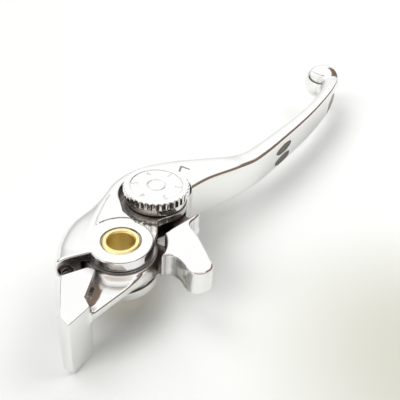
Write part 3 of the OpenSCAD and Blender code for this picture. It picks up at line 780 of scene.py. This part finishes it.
def stroke(a, b, w):
    """Straight stroke of width w from a to b."""
    d = Vector((b[0] - a[0], b[1] - a[1])).normalized()
    s = Vector((-d.y, d.x)) * (w / 2)
    return [(a[0] - s.x, a[1] - s.y), (b[0] - s.x, b[1] - s.y), (b[0] + s.x, b[1] + s.y),
            (a[0] + s.x, a[1] + s.y)]


def on_blade(x, y, lift):
    return (x, y, float(HEIGHT(x)) - MARK_SUNK + lift)


inlay("index_stroke_a", stroke(CORNER, ARM_DIAL, 0.75), on_blade, MARK_THICK, MARK_PAINT,
      "lever")
inlay("index_stroke_b", stroke(CORNER, ARM_OUT, 0.55), on_blade, MARK_THICK, MARK_PAINT,
      "lever")

# Dark fill in the two oval recesses
OVAL_LEAN = math.atan(float(REAR.slope(OVAL_X)))
FILL_IN, FILL_IN_END, FILL_THICK, FILL_STEPS = 0.12, 0.3, 0.14, 48
ring = []
for i in range(FILL_STEPS):
    a = 2 * math.pi * i / FILL_STEPS
    ring.append(((OVAL_L / 2 - FILL_IN_END) * math.cos(a), (OVAL_R - FILL_IN) * math.sin(a)))
for number, mid_z in enumerate(OVAL_ZS):
    def on_rear(u, w, lift, mid_z=mid_z):
        x = OVAL_X + u * math.cos(OVAL_LEAN)
        return (x, float(REAR(x)) + OVAL_DEEP - FILL_IN - lift, mid_z + w)

    inlay(f"oval_fill_{number + 1}", ring, on_rear, FILL_THICK, OVAL_DARK_FILL, "lever")

# Numbers round the dial, all in one plane just above its face
NUMBERS, NUMBER_R, NUMBER_SIZE, NUMBER_THICK, FIRST_ANGLE = 6, 6.9, 3.1, 0.02, -2
for i in range(NUMBERS):
    a = math.radians(FIRST_ANGLE - 60 * i)
    text = bpy.data.curves.new(f"numeral_{i + 1}", "FONT")
    text.body = str(i + 1)
    text.size = NUMBER_SIZE * MM
    text.align_x, text.align_y = "CENTER", "CENTER"
    text.extrude = NUMBER_THICK * MM
    obj = bpy.data.objects.new(f"numeral_{i + 1}", text)
    bpy.context.scene.collection.objects.link(obj)
    obj.location = ((DIAL[0] + NUMBER_R * math.cos(a)) * MM,
                    (DIAL[1] + NUMBER_R * math.sin(a)) * MM,
                    (RIM_TOP - FACE_DEEP + NUMBER_THICK / 2) * MM)
    obj.rotation_euler = (0, 0, a - math.pi / 2)
    text.materials.append(FAINT_PAINT)
    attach(obj, "dial")

# CAD nodes whose shape is right keep it, with a better material
for name in ("upper_thrust_washer", "lower_thrust_washer", "adjuster_cam", "wave_washer",
             "cam_clip", "click_ball", "click_spring"):
    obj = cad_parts[name]
    obj.data.materials.clear()
    obj.data.materials.append(STEEL)

# ---------------------------------------------------------------- studio

FLOOR_Z, SIDE = -14.55, 3.0
# Pale floor with a patch of painted shade: it turns to SHADE round SHADE_AT and is plain PALE
# beyond SHADE_NONE
PALE, SHADE = (0.93, 0.935, 0.92), (0.66, 0.66, 0.58)
SHADE_AT, SHADE_FULL, SHADE_NONE = (0.030, -0.095, FLOOR_Z * MM), 0.012, 0.075
floor_mesh = bpy.data.meshes.new("floor")
floor_mesh.from_pydata([(-SIDE, -SIDE, FLOOR_Z * MM), (SIDE, -SIDE, FLOOR_Z * MM),
                        (SIDE, SIDE, FLOOR_Z * MM), (-SIDE, SIDE, FLOOR_Z * MM)],
                       [], [(0, 1, 2, 3)])
floor = bpy.data.objects.new("floor", floor_mesh)
bpy.context.scene.collection.objects.link(floor)
FLOOR, floor_shader = material("floor_pale", PALE, 0.5, 0.0)
floor_shader.inputs["Specular IOR Level"].default_value = 0.2
where = FLOOR.node_tree.nodes.new("ShaderNodeTexCoord")
away = node(FLOOR, "ShaderNodeVectorMath")
away.operation = "DISTANCE"
away.inputs[1].default_value = SHADE_AT
falloff = node(FLOOR, "ShaderNodeMapRange", From_Min=SHADE_FULL, From_Max=SHADE_NONE)
falloff.interpolation_type = "SMOOTHSTEP"
# Painted shade on the floor, mixed in by distance from SHADE_AT
floor_shade_mix = FLOOR.node_tree.nodes.new("ShaderNodeMix")
floor_shade_mix.data_type = "RGBA"
floor_shade_mix.inputs[6].default_value = (*SHADE, 1)
floor_shade_mix.inputs[7].default_value = (*PALE, 1)
wire(FLOOR, where, "Object", away, "Vector")
wire(FLOOR, away, "Value", falloff, "Value")
FLOOR.node_tree.links.new(falloff.outputs["Result"], floor_shade_mix.inputs[0])
FLOOR.node_tree.links.new(floor_shade_mix.outputs[2], floor_shader.inputs["Base Color"])
floor_mesh.materials.append(FLOOR)

world = bpy.data.worlds.new("studio")
bpy.context.scene.world = world
world.use_nodes = True
wt = world.node_tree
wt.nodes.clear()


def put(socket, value):
    """Links a socket, or sets a number, on a world node's input."""
    if isinstance(value, bpy.types.NodeSocket):
        wt.links.new(value, socket)
    else:
        socket.default_value = value


def calc(operation, *values):
    """A sum on world sockets or numbers."""
    made = wt.nodes.new("ShaderNodeMath")
    made.operation = operation
    for socket, value in zip(made.inputs, values):
        put(socket, value)
    return made.outputs[0]


def fade(value, zero_at, one_at):
    """0 to 1, smoothly, as value goes from zero_at to one_at."""
    made = wt.nodes.new("ShaderNodeMapRange")
    made.interpolation_type = "SMOOTHSTEP"
    for key, v in (("Value", value), ("From Min", zero_at), ("From Max", one_at)):
        put(made.inputs[key], v)
    return made.outputs["Result"]


def blend_colour(a, b, share):
    """Colour a at share 0, colour b at share 1."""
    made = wt.nodes.new("ShaderNodeMix")
    made.data_type = "RGBA"
    put(made.inputs[0], share)
    put(made.inputs[6], a)
    put(made.inputs[7], b)
    return made.outputs[2]


coord = wt.nodes.new("ShaderNodeTexCoord")
split = wt.nodes.new("ShaderNodeSeparateXYZ")
wt.links.new(coord.outputs["Generated"], split.inputs[0])
dir_x, dir_y, dir_z = split.outputs
lift = calc("MULTIPLY", calc("ARCSINE", dir_z), 180 / math.pi)
flat_len = calc("SQRT", calc("ADD", calc("MULTIPLY", dir_x, dir_x),
                             calc("ADD", calc("MULTIPLY", dir_y, dir_y), 1e-6)))


def zone(azimuth, half, low, high, soft):
    """Soft-edged patch of the room: 1 inside, 0 outside, all in degrees."""
    a = math.radians(azimuth)
    along = calc("ADD", calc("MULTIPLY", dir_x, math.cos(a)), calc("MULTIPLY", dir_y, math.sin(a)))
    turn = calc("MULTIPLY", calc("ARCCOSINE", calc("DIVIDE", along, flat_len)), 180 / math.pi)
    across = fade(turn, half + soft, half - soft)
    return calc("MULTIPLY", across, calc("MULTIPLY", fade(lift, low - soft, low + soft),
                                         fade(lift, high + soft, high - soft)))


WHITE = 1.12
colour = blend_colour((0.80, 0.80, 0.78, 1), (WHITE, WHITE, WHITE, 1), fade(lift, 2, 26))
# Darker parts of the room, seen only in reflections: azimuth, half width, low, high,
# softness and colour
ROOM = [
    (82, 36, -9, 9, 7, (0.62, 0.63, 0.65, 1)),
    (-150, 40, 24, 60, 8, (0.86, 0.78, 0.72, 1)),
    (128, 45, -9, 10, 4, (0.13, 0.12, 0.115, 1)),
    (-140, 50, -9, 20, 5, (0.13, 0.12, 0.115, 1)),
    (-45, 46, -9, 44, 6, (0.22, 0.155, 0.12, 1)),
]
for azimuth, half, low, high, soft, shade in ROOM:
    colour = blend_colour(colour, shade, zone(azimuth, half, low, high, soft))


def soft_light(azimuth, height, half, weight):
    """Round soft light in the sky, by the light that it puts on the floor."""
    a, e, spread = math.radians(azimuth), math.radians(height), math.radians(half)
    toward = calc("ADD", calc("MULTIPLY", dir_x, math.cos(e) * math.cos(a)),
                  calc("ADD", calc("MULTIPLY", dir_y, math.cos(e) * math.sin(a)),
                       calc("MULTIPLY", dir_z, math.sin(e))))
    disc_of_light = fade(toward, math.cos(1.5 * spread), math.cos(0.5 * spread))
    return calc("MULTIPLY", disc_of_light, weight / (spread ** 2 * math.sin(e)))


# Soft lights that light the floor and cast the shadows: azimuth, height, half width, weight
LIGHTS = [(158, 40, 15, 0.25), (90, 60, 16, 0.21), (20, 24, 25, 0.18), (325, 45, 16, 0.16),
          (220, 42, 16, 0.05)]
fill_level = 0.06
for azimuth, height, half, weight in LIGHTS:
    fill_level = calc("ADD", soft_light(azimuth, height, half, weight), fill_level)


def background(colour, strength=1.0):
    made = wt.nodes.new("ShaderNodeBackground")
    put(made.inputs["Color"], colour)
    put(made.inputs["Strength"], strength)
    return made.outputs[0]


def choose(share, a, b):
    """Shader a at share 0, shader b at share 1."""
    made = wt.nodes.new("ShaderNodeMixShader")
    put(made.inputs[0], share)
    wt.links.new(a, made.inputs[1])
    wt.links.new(b, made.inputs[2])
    return made.outputs[0]


path = wt.nodes.new("ShaderNodeLightPath")
lit = choose(path.outputs["Is Glossy Ray"], background((1.0, 1.0, 0.99, 1), fill_level),
             background(colour))
seen = choose(path.outputs["Is Camera Ray"], lit, background((1, 1, 1, 1)))
out = wt.nodes.new("ShaderNodeOutputWorld")
wt.links.new(seen, out.inputs["Surface"])

# ---------------------------------------------------------------- camera

LENS, SENSOR, CAMERA_AT = 46.88, 36.0, (-86.9, -73.6, 107.1)
view_dir = Vector((0.699, 0.392, -0.598)).normalized()
right = Vector((0.5278, -0.8471, 0.0626))
right = (right - view_dir * right.dot(view_dir)).normalized()
up = right.cross(view_dir)
camera_data = bpy.data.cameras.new("camera")
camera_data.lens = LENS
camera_data.sensor_width = SENSOR
camera_data.clip_start = 0.005
camera_data.clip_end = 20
camera = bpy.data.objects.new("camera", camera_data)
camera.matrix_world = Matrix.Translation(Vector(CAMERA_AT) * MM) @ Matrix(
    (right, up, -view_dir)).transposed().to_4x4()
bpy.context.scene.collection.objects.link(camera)
bpy.context.scene.camera = camera
bpy.context.scene.view_settings.view_transform = "Standard"
